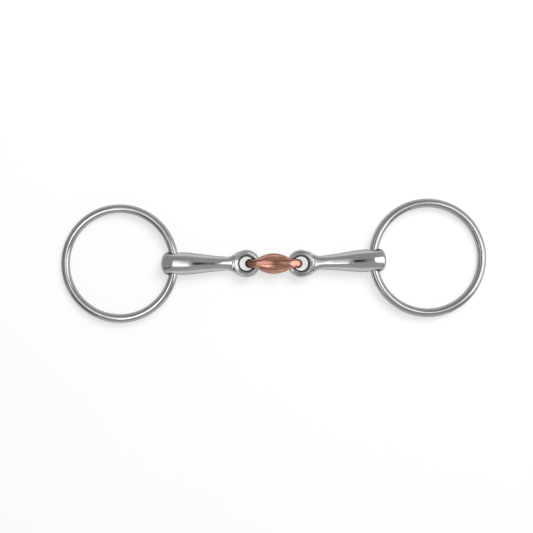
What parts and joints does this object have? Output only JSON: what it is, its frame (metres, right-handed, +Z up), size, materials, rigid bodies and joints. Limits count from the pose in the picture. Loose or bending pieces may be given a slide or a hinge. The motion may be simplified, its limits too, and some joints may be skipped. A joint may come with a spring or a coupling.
{
  "type": "snaffle bit",
  "caption": "Loose ring snaffle bit: round rings swing in tapered mouthpiece arms, whose eyes hook onto a central copper lozenge link.",
  "frame": {"origin": "under the middle of the whole bit, on the surface that it lies on", "axes": "+X along the mouthpiece towards the right ring, +Y across it, +Z up from the surface it lies flat on"},
  "size_m": [0.2805, 0.0816, 0.0152],
  "materials": {
    "arm_steel": "mirror-polished cast stainless steel",
    "ring_steel": "mirror-polished stainless steel wire",
    "copper": "polished copper with fine lengthwise polishing lines"
  },
  "bodies": {
    "lozenge": {"copper_lozenge": "copper"},
    "left_arm": {"left_mouthpiece_arm": "arm_steel"},
    "right_arm": {"right_mouthpiece_arm": "arm_steel"},
    "left_ring": {"left_ring": "ring_steel"},
    "right_ring": {"right_ring": "ring_steel"}
  },
  "joints": [
    {"name": "left_arm_fold", "type": "hinge", "parent": "lozenge", "child": "left_arm", "pos_m": [-0.01103, -0.0019, 0.0076], "axis": [0, 1, 0], "range_deg": [-40, 40]},
    {"name": "right_arm_fold", "type": "hinge", "parent": "lozenge", "child": "right_arm", "pos_m": [0.01112, -0.0019, 0.0076], "axis": [0, -1, 0], "range_deg": [-40, 40]},
    {"name": "left_ring_swing", "type": "hinge", "parent": "left_arm", "child": "left_ring", "pos_m": [-0.06531, -0.0019, 0.0076], "axis": [0, 1, 0], "range_deg": [-86, 94]},
    {"name": "right_ring_swing", "type": "hinge", "parent": "right_arm", "child": "right_ring", "pos_m": [0.06534, 0.00026, 0.0076], "axis": [0.0454, -0.999, 0], "range_deg": [-86, 94]}
  ]
}
